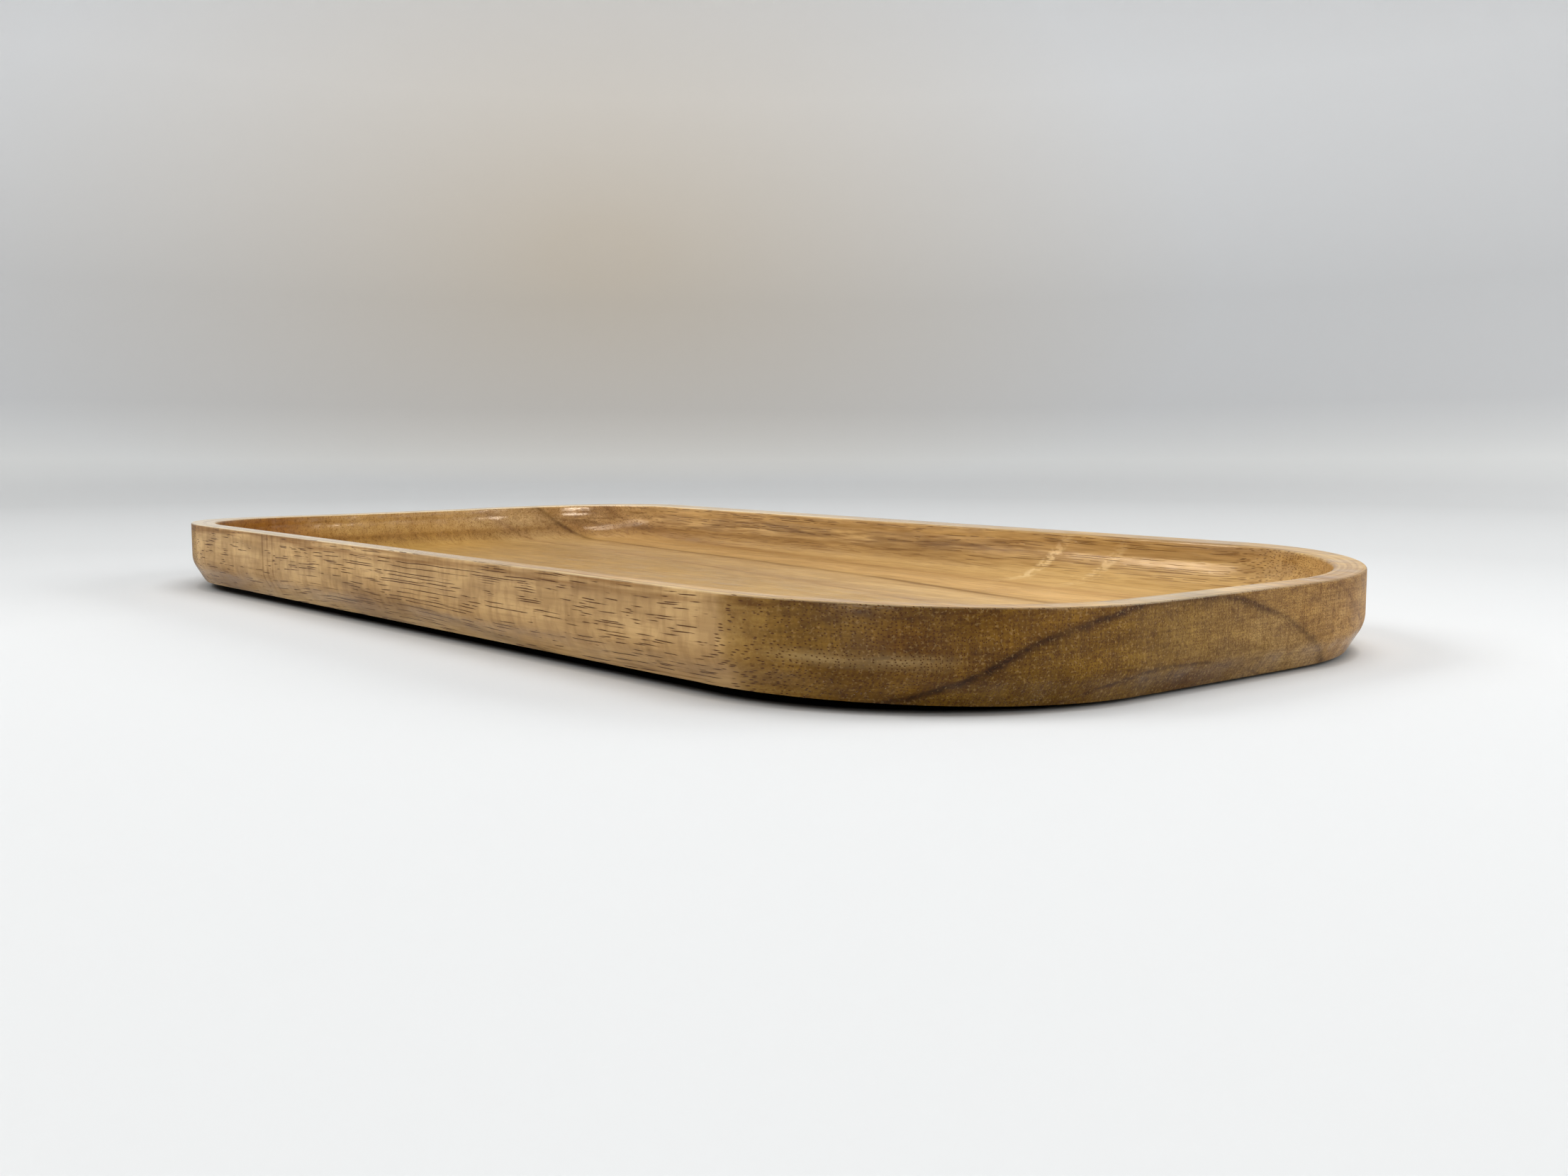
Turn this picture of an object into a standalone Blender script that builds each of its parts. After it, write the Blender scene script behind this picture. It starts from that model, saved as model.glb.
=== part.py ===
"""Rectangular wooden tray: one milled board that stands on four anti-slip pads glued into it.

Metres, +Z up. The origin is under the middle of the tray, on the surface that its pads stand on.
+X runs along the tray, which is also the way the grain runs, and +Y runs across it.
"""

import math

import bmesh
import bpy

# The board
LENGTH = 0.300
WIDTH = 0.150
BOARD_THICKNESS = 0.015
CORNER_RADIUS = 0.050

# The rim and the well inside it
RIM_WIDTH = 0.006
FLOOR_THICKNESS = 0.005
COVE_RADIUS = 0.008
OUTER_ARRIS_RADIUS = 0.0004
INNER_ARRIS_RADIUS = 0.0006

# The lower edge is bevelled, and rounded where the bevel leaves the upright wall
BEVEL_HEIGHT = 0.005
BEVEL_INSET = 0.003
BEVEL_ROUNDING = 0.006

# The board has cupped in drying: its long edges stand above the level strip along its middle
EDGE_RISE = 0.0015
LEVEL_STRIP_WIDTH = 0.030

# The anti-slip pads, each glued into a round seat in the underside
PAD_DIAMETER = 0.010
PAD_THICKNESS = 0.002
PAD_EDGE_RADIUS = 0.0004
PAD_STAND_OUT = 0.0005
PAD_FROM_END = 0.040
PAD_FROM_SIDE = 0.030
GLUE_GAP = 0.0003

# How finely the round shapes are drawn
CORNER_STEPS = 16
BEVEL_ROUNDING_STEPS = 6
ARRIS_STEPS = 2
COVE_STEPS = 8
CUP_STEPS = 6
PAD_SIDES = 32
PAD_EDGE_STEPS = 2

# Points closer than this are one point, and the seat cutters reach this far below the underside
WELD_DISTANCE = 0.000001
CUTTER_OVERRUN = 0.002

# Angles between faces above this are drawn as edges
SHARP_ANGLE = math.radians(30)


def clear_scene():
    """Remove whatever the file starts with."""
    for old in list(bpy.data.objects):
        bpy.data.objects.remove(old, do_unlink=True)


def new_collection(name):
    """A collection of its own under the scene's root."""
    collection = bpy.data.collections.new(name)
    bpy.context.scene.collection.children.link(collection)
    return collection


def new_material(name, colour, roughness):
    """A plain non-metal with one colour."""
    material = bpy.data.materials.new(name)
    material.use_nodes = True
    shader = material.node_tree.nodes["Principled BSDF"]
    shader.inputs["Base Color"].default_value = (*colour, 1.0)
    shader.inputs["Roughness"].default_value = roughness
    shader.inputs["Metallic"].default_value = 0.0
    material.diffuse_color = (*colour, 1.0)
    return material


def new_object(name, mesh, collection, material=None):
    """An object in a collection, shaded smooth apart from its real edges."""
    mesh.shade_smooth()
    mesh.set_sharp_from_angle(angle=SHARP_ANGLE)
    if material:
        mesh.materials.append(material)
    thing = bpy.data.objects.new(name, mesh)
    collection.objects.link(thing)
    return thing


def arc_points(radius, start, end, steps):
    """Points on an arc about the origin, from one angle to another, both ends included."""
    points = []
    for step in range(steps + 1):
        angle = start + (end - start) * step / steps
        points.append((radius * math.cos(angle), radius * math.sin(angle)))
    return points


def outline_points():
    """The tray's outline seen from above: straight sides joined by four round corners."""
    along = LENGTH / 2 - CORNER_RADIUS
    across = WIDTH / 2 - CORNER_RADIUS
    centres = ((along, across), (-along, across), (-along, -across), (along, -across))
    points = []
    for quarter, (centre_x, centre_y) in enumerate(centres):
        start = quarter * math.pi / 2
        for x, y in arc_points(CORNER_RADIUS, start, start + math.pi / 2, CORNER_STEPS):
            points.append((centre_x + x, centre_y + y))
    return points


def bevel_slant():
    """The bevel's angle from upright."""
    return math.atan2(BEVEL_INSET, BEVEL_HEIGHT)


def wall_low():
    """The height above the underside at which the upright wall starts to round into the bevel."""
    return BEVEL_HEIGHT + BEVEL_ROUNDING * math.tan(bevel_slant() / 2)


def lower_edge_profile():
    """From the upright wall down to the underside, as (inset from the wall, height) pairs."""
    arc = arc_points(BEVEL_ROUNDING, 0, bevel_slant(), BEVEL_ROUNDING_STEPS)
    rounding = [(BEVEL_ROUNDING - inward, wall_low() - drop) for inward, drop in arc]
    return rounding + [(BEVEL_INSET, 0.0)]


def rim_and_well_profile():
    """From the upright wall over the rim, down into the well and round the cove to the floor."""
    well_depth = BOARD_THICKNESS - FLOOR_THICKNESS
    cove = min(COVE_RADIUS, well_depth - INNER_ARRIS_RADIUS)
    quarter = math.pi / 2
    outer = arc_points(OUTER_ARRIS_RADIUS, 0, quarter, ARRIS_STEPS)
    inner = arc_points(INNER_ARRIS_RADIUS, quarter, 0, ARRIS_STEPS)
    hollow = arc_points(cove, 0, quarter, COVE_STEPS)
    profile = [(OUTER_ARRIS_RADIUS - out, BOARD_THICKNESS - OUTER_ARRIS_RADIUS + up) for out, up in outer]
    profile += [
        (RIM_WIDTH - INNER_ARRIS_RADIUS + out, BOARD_THICKNESS - INNER_ARRIS_RADIUS + up)
        for out, up in inner
    ]
    profile += [(RIM_WIDTH + cove - out, FLOOR_THICKNESS + cove - down) for out, down in hollow]
    return profile


def work_face(body, face, profile):
    """Carry one face of the board along a profile, leaving a ring of faces at each step."""
    side = 1 if face.normal.z > 0 else -1
    for (inset, height), (next_inset, next_height) in zip(profile, profile[1:]):
        bmesh.ops.inset_region(
            body,
            faces=[face],
            thickness=next_inset - inset,
            depth=side * (next_height - height),
            use_even_offset=True,
        )


def blank_mesh():
    """The board's upright band, between its lower edge and its rim, as a closed slab."""
    band_low = wall_low()
    band_high = BOARD_THICKNESS - OUTER_ARRIS_RADIUS
    curve = bpy.data.curves.new("blank_outline", "CURVE")
    curve.dimensions = "2D"
    curve.fill_mode = "BOTH"
    curve.extrude = (band_high - band_low) / 2
    outline = outline_points()
    spline = curve.splines.new("POLY")
    spline.points.add(len(outline) - 1)
    for point, (x, y) in zip(spline.points, outline):
        point.co = (x, y, 0, 1)
    spline.use_cyclic_u = True
    blank = bpy.data.objects.new("blank_outline", curve)
    bpy.context.scene.collection.objects.link(blank)
    blank.location.z = (band_low + band_high) / 2
    bpy.context.view_layer.update()
    mesh = bpy.data.meshes.new_from_object(blank.evaluated_get(bpy.context.evaluated_depsgraph_get()))
    mesh.name = "tray_body"
    mesh.transform(blank.matrix_world)
    bpy.data.objects.remove(blank, do_unlink=True)
    return mesh


def flat_cap(body, side):
    """The slab's upper (1) or lower (-1) cap, made a single face."""
    cap = [face for face in body.faces if round(face.normal.z) == side]
    return bmesh.ops.dissolve_faces(body, faces=cap)["region"][0]


def rise_at(y):
    """How far the cupped board stands above its level strip, at a distance y from the middle."""
    level = LEVEL_STRIP_WIDTH / 2
    share = max(0.0, abs(y) - level) / (WIDTH / 2 - level)
    return EDGE_RISE * share * share


def cup(body):
    """Score the board along its length, then lift each point by the rise at its place."""
    level = LEVEL_STRIP_WIDTH / 2
    pitch = (WIDTH / 2 - level) / CUP_STEPS
    for side in (-1, 1):
        for step in range(CUP_STEPS):
            bmesh.ops.bisect_plane(
                body,
                geom=body.verts[:] + body.edges[:] + body.faces[:],
                dist=WELD_DISTANCE,
                plane_co=(0, side * (level + step * pitch), 0),
                plane_no=(0, 1, 0),
            )
    for vert in body.verts:
        vert.co.z += rise_at(vert.co.y)


def pad_places():
    """Each pad's name and the middle of its place, as x and y."""
    x = LENGTH / 2 - PAD_FROM_END
    y = WIDTH / 2 - PAD_FROM_SIDE
    return {
        "pad_front_left": (-x, -y),
        "pad_front_right": (x, -y),
        "pad_rear_left": (-x, y),
        "pad_rear_right": (x, y),
    }


def disc_mesh(name, diameter, low, high):
    """An upright cylinder between two heights, about the Z axis."""
    mesh = bpy.data.meshes.new(name)
    disc = bmesh.new()
    bmesh.ops.create_cone(
        disc,
        cap_ends=True,
        segments=PAD_SIDES,
        radius1=diameter / 2,
        radius2=diameter / 2,
        depth=high - low,
    )
    bmesh.ops.translate(disc, verts=disc.verts, vec=(0, 0, (low + high) / 2))
    disc.to_mesh(mesh)
    disc.free()
    return mesh


def seat_cutters(collection):
    """A cutter for each pad's seat, wider than the pad and deeper by the gap for the glue."""
    for name, (x, y) in pad_places().items():
        mesh = disc_mesh(
            name + "_seat", PAD_DIAMETER + 2 * GLUE_GAP, -CUTTER_OVERRUN, PAD_THICKNESS + GLUE_GAP
        )
        cutter = new_object(name + "_seat", mesh, collection)
        cutter.location = (x, y, 0)
        cutter.hide_render = True
        cutter.display_type = "WIRE"


def tray_body(collection, cutters, material):
    """The milled board: upright wall, rounded lower edge, flat rim, coved well and pad seats."""
    mesh = blank_mesh()
    body = bmesh.new()
    body.from_mesh(mesh)
    bmesh.ops.remove_doubles(body, verts=body.verts, dist=WELD_DISTANCE)
    work_face(body, flat_cap(body, -1), lower_edge_profile())
    work_face(body, flat_cap(body, 1), rim_and_well_profile())
    cup(body)
    body.to_mesh(mesh)
    body.free()
    board = new_object("tray_body", mesh, collection, material)
    board.location.z = PAD_STAND_OUT
    seats = board.modifiers.new("pad_seats", "BOOLEAN")
    seats.operation = "DIFFERENCE"
    seats.operand_type = "COLLECTION"
    seats.collection = cutters
    seats.solver = "EXACT"


def pads(collection, material):
    """The four pads: discs with rounded edges, their flat faces on the ground."""
    for name, (x, y) in pad_places().items():
        pad = new_object(name, disc_mesh(name, PAD_DIAMETER, 0, PAD_THICKNESS), collection, material)
        pad.location = (x, y, 0)
        rounding = pad.modifiers.new("rounded_edges", "BEVEL")
        rounding.width = PAD_EDGE_RADIUS
        rounding.segments = PAD_EDGE_STEPS
        rounding.limit_method = "ANGLE"
        rounding.angle_limit = SHARP_ANGLE


def build():
    """The whole tray."""
    clear_scene()
    tray = new_collection("wooden_tray")
    cutters = new_collection("cutters")
    acacia = new_material("lacquered_acacia", (0.45, 0.27, 0.12), 0.38)
    rubber = new_material("soft_rubber", (0.06, 0.06, 0.06), 0.75)
    seat_cutters(cutters)
    tray_body(tray, cutters, acacia)
    pads(tray, rubber)


build()
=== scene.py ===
"""Looks of the rectangular wooden tray: lacquered acacia on rubber pads, in plain studio light.

Metres, +Z up, in the part's own frame: +X along the grain, +Y across it, the origin under the
middle of the tray. The wood's patterns are written in millimetres, from the real grain.
"""
import math

import bmesh
import bpy
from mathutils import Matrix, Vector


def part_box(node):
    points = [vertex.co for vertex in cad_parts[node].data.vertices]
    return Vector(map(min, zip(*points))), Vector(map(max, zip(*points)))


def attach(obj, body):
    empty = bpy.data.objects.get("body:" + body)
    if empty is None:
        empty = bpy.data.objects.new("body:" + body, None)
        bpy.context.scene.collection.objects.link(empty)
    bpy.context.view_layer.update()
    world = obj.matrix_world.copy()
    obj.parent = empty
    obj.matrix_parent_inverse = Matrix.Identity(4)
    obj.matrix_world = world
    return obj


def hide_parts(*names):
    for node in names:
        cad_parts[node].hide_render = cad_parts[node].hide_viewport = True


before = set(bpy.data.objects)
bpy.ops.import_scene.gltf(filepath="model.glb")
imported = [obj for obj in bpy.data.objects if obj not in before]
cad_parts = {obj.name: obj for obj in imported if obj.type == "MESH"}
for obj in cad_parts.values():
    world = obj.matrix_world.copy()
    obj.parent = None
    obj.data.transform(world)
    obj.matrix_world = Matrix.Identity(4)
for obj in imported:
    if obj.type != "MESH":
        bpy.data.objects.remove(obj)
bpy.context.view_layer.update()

# The board, as it is milled
BOARD_LOW, BOARD_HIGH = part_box("tray_body")
LENGTH = BOARD_HIGH.x - BOARD_LOW.x
WIDTH = BOARD_HIGH.y - BOARD_LOW.y
UNDERSIDE = BOARD_LOW.z
BOARD_THICKNESS = 0.015
CORNER_RADIUS = 0.050
RIM_WIDTH = 0.006
FLOOR_THICKNESS = 0.005
COVE_RADIUS = 0.008
OUTER_ARRIS_RADIUS = 0.0004
INNER_ARRIS_RADIUS = 0.0006
BEVEL_HEIGHT = 0.005
BEVEL_INSET = 0.003
BEVEL_ROUNDING = 0.006

# The board has cupped: its long edges stand above a level strip along its middle
EDGE_RISE = 0.0015
LEVEL_STRIP_WIDTH = 0.030

# The seats of the pads in the underside
PAD_LOW, PAD_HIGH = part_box("pad_rear_right")
GLUE_GAP = 0.0003
SEAT_SIDES = 48

# How finely the round shapes are drawn
CORNER_STEPS = 40
LONG_SIDE_STEPS = 50
SHORT_SIDE_STEPS = 20
BEVEL_STEPS = 5
BEVEL_ROUNDING_STEPS = 12
WALL_STEPS = 4
ARRIS_STEPS = 5
RIM_STEPS = 3
COVE_STEPS = 18
CAP_STEPS = 22
WELD_DISTANCE = 0.000001
SHARP_ANGLE = math.radians(30)

# The grain, in millimetres: the rings lie round the pith, which runs under the tray along X, and
# away from the near end a ring's radius grows by a share of the way
MM_PER_METRE = 1000.0
PITH_Y = -16.5
PITH_Z = -60.5
NEAR_END_X = 150.0
RING_TAPER_SHARE = 0.08
RING_FIRST = 45.0
RING_LAST = 130.0

# How far the grain wanders from side to side, and over which lengths along X, Y and Z
GRAIN_WANDER = 8.0
GRAIN_WANDER_LENGTHS = (160, 45, 45)

# Wood colours by distance from the pith at the near end: greyer heartwood, then golden sapwood
RING_COLOURS = (
    (45.0, "cba561"), (52.0, "cfa866"), (58.0, "c9a468"), (62.0, "cba972"), (64.4, "cca975"),
    (65.8, "c4a170"), (68.0, "d0ae79"), (71.0, "d9b67f"), (74.8, "d1ad77"), (76.4, "be9a60"),
    (77.6, "d7ae70"), (83.0, "ddb478"), (87.2, "d3aa6e"), (88.8, "c89e65"), (91.0, "ddb577"),
    (97.0, "deb778"), (101.0, "d4ad6d"), (104.0, "dcb575"), (109.0, "d7b16e"), (112.0, "c6a26b"),
    (115.0, "c4a26e"), (118.0, "d6b070"), (130.0, "dcb675"),
)

# Thin dark lines between the rings: distance from the pith, depth of colour and half their width
RING_LINES = (
    (65.2, 0.6, 0.3), (76.4, 1.0, 0.55), (83.0, 0.3, 0.3), (88.4, 0.5, 0.3), (94.0, 0.35, 0.3),
    (98.5, 0.5, 0.3), (103.5, 0.4, 0.3),
)

# Marks in the wood: lengths in millimetres along X, Y and Z, detail of their noise, the levels of
# the noise at which a mark starts and is full, its depth and its stain
GRAIN_MARKS = (
    ((26, 15, 6), 2.0, 0.42, 0.62, 0.3, "d2c8bc"),
    ((70, 2.6, 2.6), 3.0, 0.45, 0.6, 0.42, "d2c6b2"),
    ((16, 0.8, 0.8), 2.0, 0.56, 0.66, 0.6, "c0ad90"),
)
FIBRE_LENGTHS = (6, 0.35, 0.35)
FIBRE_MARKS = ((FIBRE_LENGTHS, 1.0, 0.4, 0.65, 0.42, "d0c2aa"),)
SIDE_RIBBONS = (
    ((5.0, 30, 7), 2.0, 0.45, 0.58, 0.4, "d0c7bb"),
    ((1.7, 20, 4), 2.0, 0.47, 0.6, 0.32, "d0c7bb"),
    ((22, 30, 5), 2.0, 0.45, 0.6, 0.4, "d0c7bb"),
)
RIM_STREAKS = (((30, 3, 1.3), 3.0, 0.4, 0.6, 1.0, "b89f7c"),)
WELL_STREAKS = (((18, 5, 1.1), 3.0, 0.43, 0.56, 0.75, "a8946a"),)
END_SCRATCHES = (
    ((9, 0.4, 6), 1.0, 0.45, 0.58, 0.4, "c8b89a"),
    ((9, 6, 0.4), 1.0, 0.45, 0.58, 0.4, "c8b89a"),
    ((0.8, 0.4, 0.4), 1.0, 0.45, 0.6, 0.34, "c8b89a"),
)

# Patches where other marks show more or less: lengths in millimetres along X, Y and Z, detail of
# their noise, the levels at which a patch starts and is full, and the shares outside and in it
RING_LINE_PATCHES = ((30, 12, 12), 2.0, 0.38, 0.6, 0.2, 0.85)
END_RING_PATCHES = ((6, 2.5, 2.5), 3.0, 0.35, 0.6, 0.35, 1.0)
SPECKS = ((0.6, 0.45, 0.45), 1.0, 0.58, 0.7, 0.0, 0.25)
PALE_BAND_PATCHES = ((30, 16, 2), 3.0, 0.3, 0.55, 0.1, 0.6)
RIBBON_PATCHES = ((2, 2, 0.9), 2.0, 0.42, 0.56, 0.05, 1.0)
RIM_EDGE_PATCHES = ((16, 16, 16), 3.0, 0.35, 0.6, 0.25, 0.6)
LACQUER_PATCHES = ((14, 4, 4), 3.0, 0.38, 0.62, 0.35, 1.0)

# Darker clouds on the board: middle, how far each reaches along X, Y and Z, and stain. Their edges
# are shares of that reach, less what a ragged noise takes off
CLOUD_EDGES = (0.9, 1.8)
CLOUD_DEPTH = 0.8
RAGGED_LENGTHS = (6, 6, 3)
CLOUDS = (
    ((-86.0, -75.0, 4.0), (13.0, 20.0, 5.0), "d8cec2"),
    ((-12.0, -75.0, 5.0), (13.0, 20.0, 5.0), "cec2b4"),
    ((134.0, -61.0, 11.0), (7.0, 7.0, 4.0), "d4bf84"),
    ((150.0, -12.0, 2.0), (20.0, 11.0, 2.4), "b49c86"),
)

# Three fine dark lines across the front side: X of the middle one, how far they are apart, how
# far from a line it starts to fade and is gone, its depth, the levels of the ragged noise at which
# it breaks and the shares there, and where the three end
FINE_LINES_X = -61.6
FINE_LINE_PITCH = 2.8
FINE_LINE_EDGES = (0.1, 0.6)
FINE_LINE_DEPTH = 0.7
FINE_LINE_BREAKS = (0.35, 0.55, 0.3, 1.0)
FINE_LINES_END = (3.3, 4.0)

# Pale ribbons of the grain on the back wall of the well, painted pale as a painted sheen: X at this
# height, and depth. They lean as they rise
PALE_RIBBONS = ((52.0, 0.8), (69.0, 0.5))
RIBBON_HEIGHT = 10.0
RIBBON_LEAN = -0.8
RIBBON_EDGES = (0.9, 2.4)

# The sander's lines round the rim: how many there are to the millimetre across it, how much
# slower they change along it, the levels of their noise at which one starts and is full, and depth
RIM_LINES_TO_MM = 1.1
RIM_LINES_SLOWER = 0.02
RIM_LINE_LEVELS = (0.45, 0.6)
RIM_LINE_DEPTH = 0.8

# Parts of the board, and what shows there, by the values that board_surface gives for a point.
# Over each range the share goes from 0 to 1, or from one share to another that stand behind it
FACES_UP = (0.75, 0.97)
LONG_SIDE = {"sideways": (0.5, 0.9), "inset": (0.5, 3.0, 1.0, 0.0)}
FRONT = {"y": (-70.0, -60.0, 1.0, 0.0)}
LOWER_EDGE = {"level": (1.0, 7.5, 0.7, 0.0)}
UPPER_EDGE = {
    "inset": (0.3, 0.8, 1.0, 0.0), "level": (11.8, 13.6, 0.0, 0.8),
    "sideways": (0.3, 0.8, 0.2, 1.0),
}
RIBBONS_SHOW = {"inset": (0.5, 3.0, 1.0, 0.1), "upward": (*FACES_UP, 1.0, 0.4)}
CLOUDS_SHOW = {"inset": (3.0, 4.5, 1.0, 0.0)}
PORES_SHOW = {"inset": (4.0, 7.0, 1.0, 0.65), "upward": (*FACES_UP, 1.0, 0.2)}
LACQUER_LIES = {"inset": (0.2, 1.0, 0.15, 0.7)}
END_FACE = {"inset": (4.0, 7.0, 1.0, 0.0)}
END_TURNS = ({"endways": (0.12, 0.18, 0.0, 0.45)}, {"endways": (0.18, 0.45, 0.0, 0.55)})
END_NEAR_PART = {"y": (-34.0, -22.0, 1.0, 0.0)}
END_FAR_PART = {"y": (-22.0, 55.0, 1.0, 0.3)}
END_RINGS_SHOW = {"y": (-5.0, 15.0, 1.0, 0.3)}
PALE_BAND_FROM = {"level": (5.0, 6.4)}
PALE_BAND_TO = {"level": (6.6, 8.2, 1.0, 0.0), "y": (-62.0, -54.0, 1.0, 0.0), "endways": (0.25, 0.4)}
RIM = {"level": (14.7, 14.95)}
# Painted sheen: the rim is painted paler towards the far end
RIM_PAINTED_SHEEN = {"x": (-60.0, 45.0, 0.6, 0.12)}
RIM_NEAR_END = {"x": (125.0, 140.0, 0.0, 0.3)}
# Painted highlight along the rim's outer edge
RIM_OUTER_EDGE = {"inset": (0.25, 0.75, 1.0, 0.0), "x": (110.0, 140.0, 1.0, 0.25)}
RIM_FAR_PART = {"level": (14.6, 14.9), "x": (20.0, 60.0, 1.0, 0.0)}
WELL_FLOOR = {"upward": FACES_UP, "inset": (6.0, 9.0)}
WELL_WALL = {"inset": (6.2, 7.5), "level": (5.5, 8.0)}
# Towards the near end the streaks thin out, a painted lightening that stands in for the wall's
# sheen
WELL_WALL_TOP = {
    "inset": (5.8, 6.4), "level": (7.0, 10.5), "sideways": (0.3, 0.7), "x": (30.0, 70.0, 1.0, 0.45),
}
WELL_BACK = {"inset": (5.8, 6.4), "level": (4.0, 4.8), "y": (50.0, 60.0)}
WELL_NEAR_PART = {"x": (60.0, 90.0)}

# Painted shade in the well: it is darker away from the near end, more so on its wall and behind
# the front rim, and also on its left wall towards the front
FAR_PART = (-40.0, 75.0, 1.0, 0.0)
WELL_PAINTED_SHADE = (
    ("dcd6ca", {"inset": (6.2, 7.5), "x": FAR_PART}),
    ("ded2bc", {**WELL_WALL, "x": FAR_PART}),
    ("dccaaa", {**WELL_WALL, "x": FAR_PART, "y": (-60.0, 0.0, 1.0, 0.0)}),
    ("c8ac82", {"inset": (5.7, 6.0), "level": (5.5, 8.0), "x": (-128.0, -110.0, 1.0, 0.0),
                "y": (-36.0, -16.0, 1.0, 0.0)}),
)

# Colours of single marks: a stain darkens what is under it, and a tone is mixed into it
SIDE_TONE = "d6b07a"
SIDE_TONE_SHARE = 0.6
RING_LINE_STAIN = "9a7e50"
FINE_LINE_STAIN = "bca98c"
# Painted shade on the long sides' lower edge
LOWER_EDGE_PAINTED_SHADE = "c6b088"
# Painted sheen on the pale ribbons of the well's back wall
PALE_RIBBON_SHEEN_TONE = "f0cf96"
# Painted shade on the end grain at the near corner
NEAR_CORNER_PAINTED_SHADE = "f8eeac"
END_GRAIN_STAIN = "b3a86c"
END_RING_STAIN = "a08a62"
SPECK_TONE = "c39f66"
PALE_BAND_TONE = "bb9c66"
RIM_TONE = "f6e6c6"
RIM_LINE_STAIN = "d6ccc2"
# Painted highlight along the rim's outer edge
RIM_EDGE_PAINTED_HIGHLIGHT = "e8d2a4"
PORE_COLOUR = "542c06"

# The pores, in millimetres, with the edges of one as shares of their spacing. They wave over
# these lengths along X, Y and Z, and show in dashes and in clusters, where the dashes' noise and
# a share of the clusters' noise come together to these levels
PORE_SPACING = 0.45
PORE_RANDOMNESS = 0.7
PORE_EDGES = (0.13, 0.24)
PORE_WAVE = 0.65
PORE_WAVE_LENGTHS = (14, 7, 7)
PORE_DASH_LENGTHS = (4.2, 0.8, 0.8)
PORE_CLUSTER_LENGTHS = (45, 20, 20)
PORE_CLUSTER_SHARE = 0.5
PORE_LEVELS = (0.69, 0.76)
PORE_DEPTH = 0.06

# Relief of the lacquered surface: lengths along X, Y and Z and depth, in millimetres
RELIEF = ((FIBRE_LENGTHS, 0.01), ((16, 9, 9), 0.2), ((5, 2.2, 2.2), 0.045))

# The lacquer: how much lies on the far part of the rim, and the stretch of the well's long walls
# where it is duller, as a middle and the distances at which it starts to end and has ended
RIM_LACQUER = 0.95
DULLER_STRETCH = (-33.0, 85.0, 94.0)
DULLER_SHARE = 0.25
GLOSSIER_SHARE = 1.4

# The stretch across the near end where the rim is paler, given alike, and how much of the marks
# along the grain shows on the well's floor
RIM_NEAR_STRETCH = (-10.0, 12.0, 30.0)
CALMER_SHARE = 0.6

# The pads' rubber: how far apart the pebbles of the mould lie in millimetres and how deep they
# are in metres, and its colours by level of the noise
PEBBLE_LENGTH = 0.35
PEBBLE_DEPTH = 0.00008
RUBBER_COLOURS = ((0.3, "262626"), (0.7, "3a3938"))

# The white paper floor, which curves up into a wall all round: its colours by distance from the
# pool of light are painted light and shade, greyer where the light falls off
PAPER_PAINTED_FALLOFF = (
    (0.18, "d8d9d9"), (0.38, "c5c6c6"), (0.70, "babbbb"), (0.90, "c0c1c1"), (1.01, "cacbca"),
    (1.16, "bdbebf"), (1.37, "c7c8c9"), (1.65, "e7e8e9"),
)
POOL_MIDDLE = (0.12, -0.10, 0.0)

# A painted glow: faint warm light painted on the wall behind the tray, between these distances from
# its middle
GLOW_MIDDLE = (-1.07, 0.70, 0.21)
GLOW_REACH = (0.05, 0.60)
GLOW_PAINTED_TINT = "f6ead9"

# A painted shadow darkens the paper under the tray between these distances outside its outline,
# and the least light left there goes from one share to another between two places along X
GAP_SHADE = (-0.0065, -0.0005)
GAP_LEAST_LIGHT = (-0.15, -0.03, 0.3, 0.02)
FLOOR_RADIUS = 0.70
SWEEP_RADIUS = 0.90
WALL_HEIGHT = 2.4
SWEEP_STEPS = 24
ROUND_STEPS = 96

# Softboxes that the lacquer doesn't reflect: name, azimuth and elevation in degrees, distance,
# width and height in metres, and power in watts
LAMPS = (
    ("top", 60.0, 80.0, 1.3, 1.0, 1.0, 10.4),
    ("left", 229.0, 40.0, 1.2, 0.6, 0.6, 6.7),
    ("right", 33.0, 14.0, 1.2, 0.35, 0.35, 4.2),
    ("rear", 60.0, 25.0, 1.25, 0.5, 0.5, 6.0),
)

# Bright cream cards that only show as reflections in the lacquer
CARDS = (
    ("card_front", 300.0, 6.5, 1.0, 0.36, 0.13, 7.5),
    ("card_right", 14.0, 8.0, 1.2, 0.5, 0.3, 11.5),
    ("card_left", 236.0, 46.0, 1.2, 0.42, 0.95, 16.5),
)
CARD_COLOUR = "ffe9cf"
SKY_COLOUR = "f6f6f6"
SKY_STRENGTH = 0.2

# The photograph's viewpoint
PHOTO_WIDTH = 2212
PHOTO_FOCAL_PIXELS = 2247.7
SENSOR_WIDTH = 36.0
CAMERA_PLACE = (0.2965, -0.2239, 0.0429)
CAMERA_YAW = 2.4330
CAMERA_PITCH = -0.1042
NEAREST_SEEN = 0.01

# Sums and mixes that come up again and again: kind of node, settings, and inputs in order
SUMS = {
    "plus": ("ShaderNodeMath", {"operation": "ADD"}, (0, 1)),
    "times": ("ShaderNodeMath", {"operation": "MULTIPLY"}, (0, 1)),
    "times_plus": ("ShaderNodeMath", {"operation": "MULTIPLY_ADD"}, (0, 1, 2)),
    "absolute": ("ShaderNodeMath", {"operation": "ABSOLUTE"}, (0,)),
    "spread": ("ShaderNodeMapRange", {}, ("Value", "From Min", "From Max", "To Min", "To Max")),
    "scaled": ("ShaderNodeVectorMath", {"operation": "SCALE"}, (0, "Scale")),
    "length": ("ShaderNodeVectorMath", {"operation": "LENGTH"}, (0,)),
    "mixed": ("ShaderNodeMix", {"data_type": "RGBA"}, (6, 0, 7)),
    "stained": ("ShaderNodeMix", {"data_type": "RGBA", "blend_type": "MULTIPLY"}, (6, 0, 7)),
}


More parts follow.
